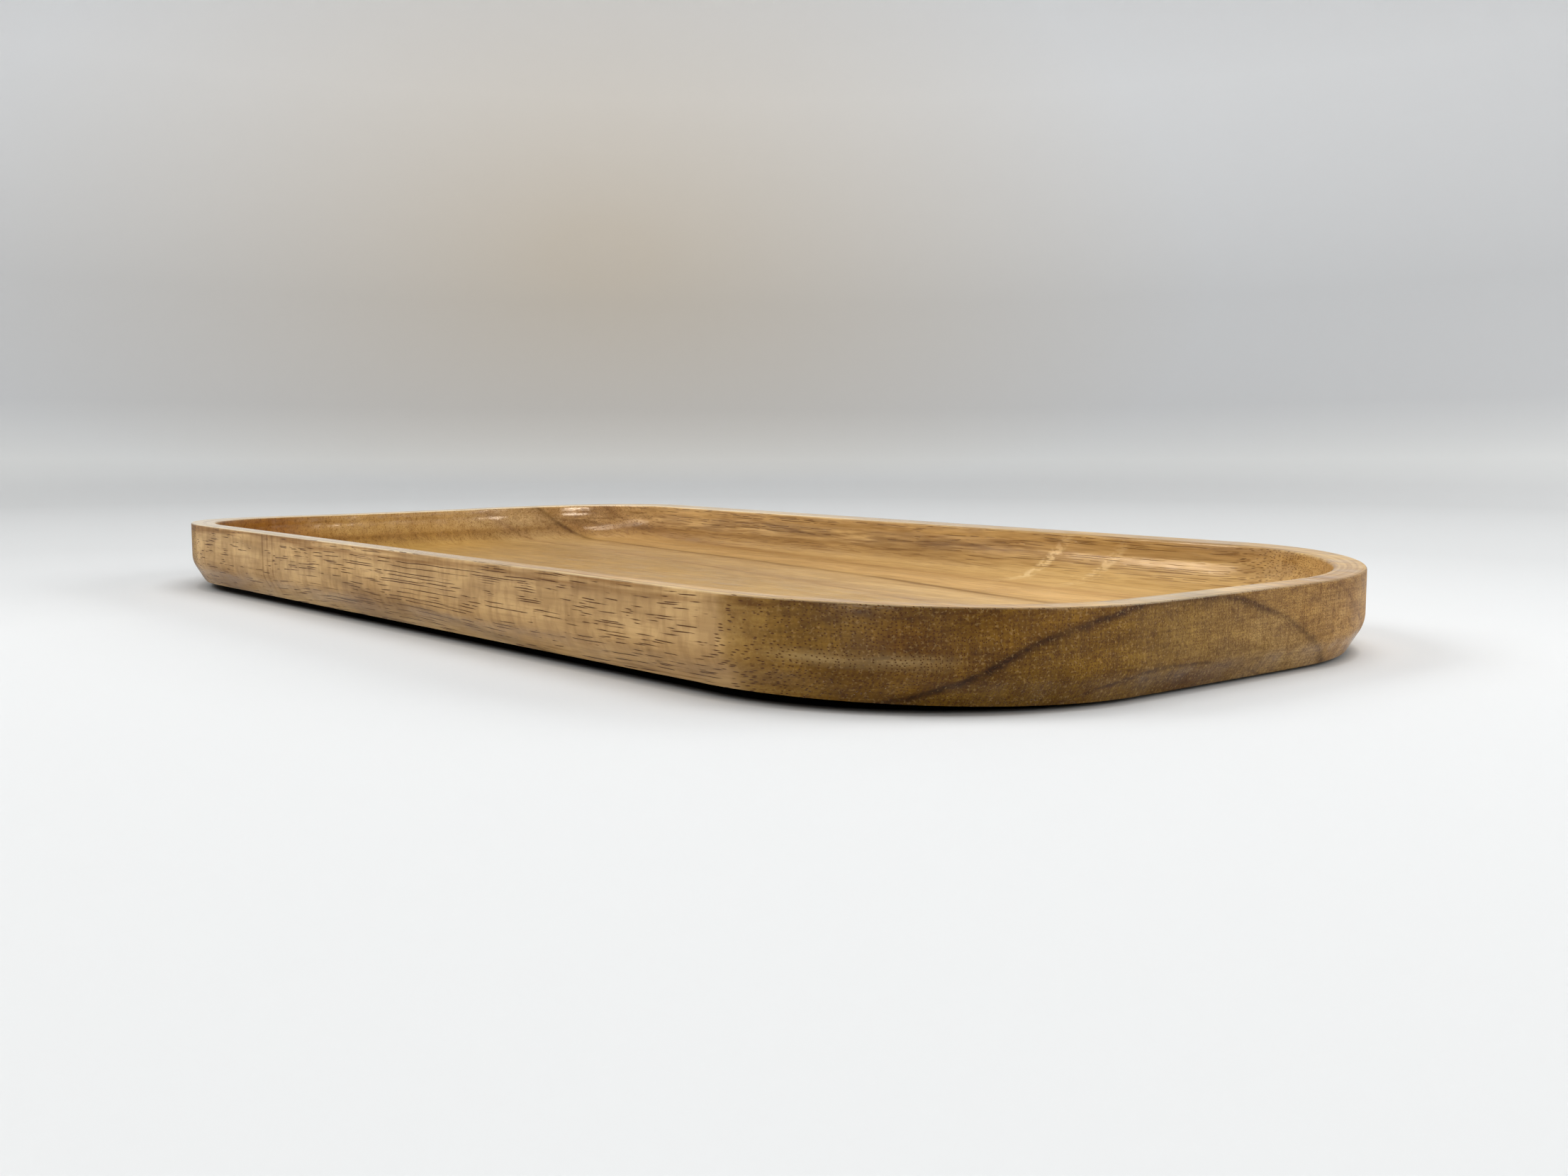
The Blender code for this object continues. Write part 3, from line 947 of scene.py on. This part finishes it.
def white_paper():
    """Matt background paper, white round the tray, with a painted shadow that turns it black in the
    thin gap under it, and painted grey far off where the light falls off.
    """
    material, tree, output = new_material("white_paper")
    here = add(tree, "ShaderNodeTexCoord").outputs["Object"]
    # The paper's tone by distance from the pool of light is painted light falloff
    away = add(tree, "ShaderNodeVectorMath", {0: here, 1: POOL_MIDDLE}, operation="DISTANCE")
    first, last = PAPER_PAINTED_FALLOFF[0][0], PAPER_PAINTED_FALLOFF[-1][0]
    span = last - first
    stops = [((distance - first) / span, linear(code)) for distance, code in PAPER_PAINTED_FALLOFF]
    share = add(tree, "spread", away, first, last)
    tone = add(tree, "ShaderNodeValToRGB", {"Fac": share}, stops=stops)

    # How far outside the tray's outline a place on the floor lies
    folded = add(tree, "ShaderNodeVectorMath", {0: here}, operation="ABSOLUTE")
    corner = (LENGTH / 2 - CORNER_RADIUS, WIDTH / 2 - CORNER_RADIUS, 0)
    past = add(tree, "ShaderNodeVectorMath", {0: folded, 1: corner}, operation="SUBTRACT")
    past = add(tree, "ShaderNodeVectorMath", {0: past, 1: (0, 0, 0)}, operation="MAXIMUM")
    outside = add(tree, "plus", add(tree, "length", past), -CORNER_RADIUS)
    along = add(tree, "ShaderNodeSeparateXYZ", {0: here}).outputs["X"]
    # Painted shadow: the paper turns near black in the thin gap under the tray
    least = add(tree, "spread", along, *GAP_LEAST_LIGHT)
    light = add(tree, "spread", outside, *GAP_SHADE, least, 1.0)
    tone = add(tree, "scaled", tone, light)
    # A painted warm glow on the wall behind the tray
    away = add(tree, "ShaderNodeVectorMath", {0: here, 1: GLOW_MIDDLE}, operation="DISTANCE")
    glow = add(tree, "spread", away, *GLOW_REACH, 1.0, 0.0)
    tone = add(tree, "stained", tone, glow, linear(GLOW_PAINTED_TINT))
    shader = add(tree, "ShaderNodeBsdfDiffuse", {"Color": tone})
    tree.links.new(shader.outputs[0], output.inputs["Surface"])
    return material


def backdrop():
    """A round floor that curves up into a wall, open at the top."""
    profile = [(FLOOR_RADIUS, 0.0)]
    for out, down in arc_points(SWEEP_RADIUS, -math.pi / 2, 0, SWEEP_STEPS):
        profile.append((FLOOR_RADIUS + out, SWEEP_RADIUS + down))
    profile.append((FLOOR_RADIUS + SWEEP_RADIUS, WALL_HEIGHT))
    sheet = bmesh.new()
    start = [sheet.verts.new((0, 0, 0))] + [sheet.verts.new((out, 0, up)) for out, up in profile]
    edges = [sheet.edges.new(pair) for pair in zip(start, start[1:])]
    bmesh.ops.spin(
        sheet, geom=start + edges, axis=(0, 0, 1), cent=(0, 0, 0), angle=2 * math.pi,
        steps=ROUND_STEPS,
    )
    bmesh.ops.remove_doubles(sheet, verts=sheet.verts, dist=WELD_DISTANCE)
    mesh = bpy.data.meshes.new("backdrop")
    sheet.to_mesh(mesh)
    sheet.free()
    mesh.shade_smooth()
    mesh.materials.append(white_paper())
    made = bpy.data.objects.new("backdrop", mesh)
    bpy.context.scene.collection.objects.link(made)


def soft_light(name, azimuth, elevation, distance, width, height, power):
    """An oblong softbox that faces the tray, placed by its direction from it in degrees."""
    azimuth, elevation = math.radians(azimuth), math.radians(elevation)
    data = bpy.data.lights.new(name, "AREA")
    data.shape = "RECTANGLE"
    data.size = width
    data.size_y = height
    data.energy = power
    lamp = bpy.data.objects.new(name, data)
    bpy.context.scene.collection.objects.link(lamp)
    lamp.location = (
        distance * math.cos(elevation) * math.cos(azimuth),
        distance * math.cos(elevation) * math.sin(azimuth),
        distance * math.sin(elevation),
    )
    lamp.rotation_euler = lamp.location.to_track_quat("Z", "Y").to_euler()
    lamp.visible_camera = False
    return lamp


def studio_light():
    """A wide lamp overhead, three from the sides, the cards, and even light all round."""
    for lamp in LAMPS:
        soft_light(*lamp).visible_glossy = False
    for card in CARDS:
        made = soft_light(*card)
        made.data.color = linear(CARD_COLOUR)[:3]
        made.visible_diffuse = False
    world = bpy.data.worlds.new("studio")
    world.use_nodes = True
    sky = world.node_tree.nodes["Background"]
    sky.inputs["Color"].default_value = linear(SKY_COLOUR)
    sky.inputs["Strength"].default_value = SKY_STRENGTH
    bpy.context.scene.world = world


def camera():
    """The photograph's camera, level from side to side."""
    data = bpy.data.cameras.new("camera")
    data.sensor_width = SENSOR_WIDTH
    data.lens = SENSOR_WIDTH * PHOTO_FOCAL_PIXELS / PHOTO_WIDTH
    data.clip_start = NEAREST_SEEN
    made = bpy.data.objects.new("camera", data)
    bpy.context.scene.collection.objects.link(made)
    made.location = CAMERA_PLACE
    made.rotation_euler = (math.pi / 2 + CAMERA_PITCH, 0, CAMERA_YAW - math.pi / 2)
    bpy.context.scene.camera = made


def main():
    """Dress the frame, stage it and light it."""
    board = milled_board(lacquered_acacia())
    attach(board, "root")
    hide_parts("tray_body")
    rubber = pad_rubber()
    for name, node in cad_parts.items():
        if name.startswith("pad_"):
            node.data.materials.clear()
            node.data.materials.append(rubber)
    backdrop()
    studio_light()
    camera()
    bpy.context.scene.view_settings.view_transform = "Standard"


main()
